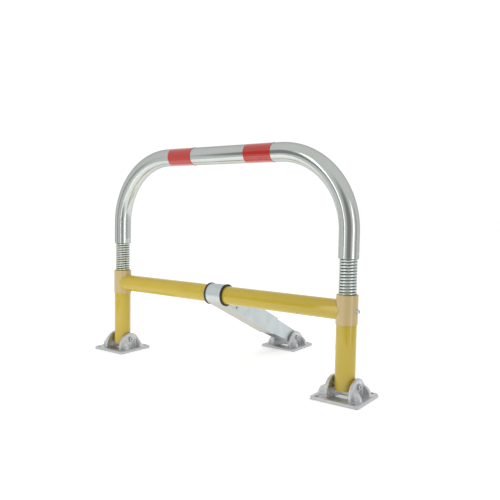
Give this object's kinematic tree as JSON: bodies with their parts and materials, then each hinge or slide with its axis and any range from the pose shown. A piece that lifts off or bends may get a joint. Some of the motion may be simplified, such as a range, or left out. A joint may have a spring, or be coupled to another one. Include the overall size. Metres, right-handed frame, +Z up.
{
  "type": "parking hoop",
  "caption": "Folding parking space hoop: bright tube arch with red bands on coil springs over a yellow two-legged frame, cast hinge feet and a telescopic rear strut.",
  "frame": {"origin": "on the floor, at the centre of the footprint of the three feet", "axes": "+X along the crossbar to the right as seen from the front, +Y to the rear foot, +Z up"},
  "size_m": [0.883, 0.4794, 0.6043],
  "materials": {
    "galvanised_tube": "bright zinc-coated tube, smooth",
    "yellow_paint": "satin mustard yellow paint",
    "cream_paint": "satin cream paint",
    "red_film": "glossy red film",
    "cast_aluminium": "raw casting",
    "zinc_sheet": "zinc-plated sheet",
    "spring_wire": "yellowish zinc-plated wire",
    "zinc_fastener": "zinc-plated",
    "black_plastic": "matt moulded"
  },
  "bodies": {
    "feet": {"left_foot": "cast_aluminium", "left_pivot_tube": "zinc_fastener", "left_hinge_screw": "zinc_fastener", "left_hinge_nut": "zinc_fastener", "right_foot": "cast_aluminium", "right_pivot_tube": "zinc_fastener", "right_hinge_screw": "zinc_fastener", "right_hinge_nut": "zinc_fastener", "rear_foot": "cast_aluminium", "rear_pivot_tube": "zinc_fastener", "rear_hinge_screw": "zinc_fastener", "rear_hinge_nut": "zinc_fastener"},
    "frame": {"crossbar": "yellow_paint", "left_leg": "yellow_paint", "left_collar": "cream_paint", "left_collar_bolt": "zinc_fastener", "left_crossbar_plug": "zinc_fastener", "left_spring_seat": "zinc_fastener", "left_spring": "spring_wire", "right_leg": "yellow_paint", "right_collar": "cream_paint", "right_collar_bolt": "zinc_fastener", "right_crossbar_plug": "zinc_fastener", "right_spring_seat": "zinc_fastener", "right_spring": "spring_wire"},
    "hoop": {"hoop_tube": "galvanised_tube", "left_red_band": "red_film", "left_spring_head": "zinc_fastener", "right_red_band": "red_film", "right_spring_head": "zinc_fastener"},
    "sleeve": {"strut_sleeve": "zinc_sheet", "left_pivot_bush": "black_plastic", "right_pivot_bush": "black_plastic"},
    "slide": {"strut_slide": "zinc_sheet"}
  },
  "joints": [
    {"name": "frame_fold", "type": "hinge", "parent": "feet", "child": "frame", "pos_m": [0, -0.17925, 0.0325], "axis": [1, 0, 0], "range_deg": [0, 90]},
    {"name": "slide_swing", "type": "hinge", "parent": "feet", "child": "slide", "pos_m": [0, 0.17925, 0.0325], "axis": [1, 0, 0], "range_deg": [-0.2, 26.09]},
    {"name": "sleeve_swing", "type": "hinge", "parent": "frame", "child": "sleeve", "pos_m": [0, -0.17925, 0.2065], "axis": [1, 0, 0], "range_deg": [-64.31, 0.2]},
    {"name": "hoop_flex", "type": "hinge", "parent": "frame", "child": "hoop", "pos_m": [0, -0.17925, 0.2855], "axis": [1, 0, 0], "range_deg": [-45, 45], "stiffness_Nm_per_rad": 45, "deforming": ["left_spring", "right_spring"]}
  ],
  "couplings": [
    {"joint": "slide_swing", "follows": "frame_fold", "ratio": 0.28767},
    {"joint": "sleeve_swing", "follows": "frame_fold", "ratio": -0.71233}
  ]
}
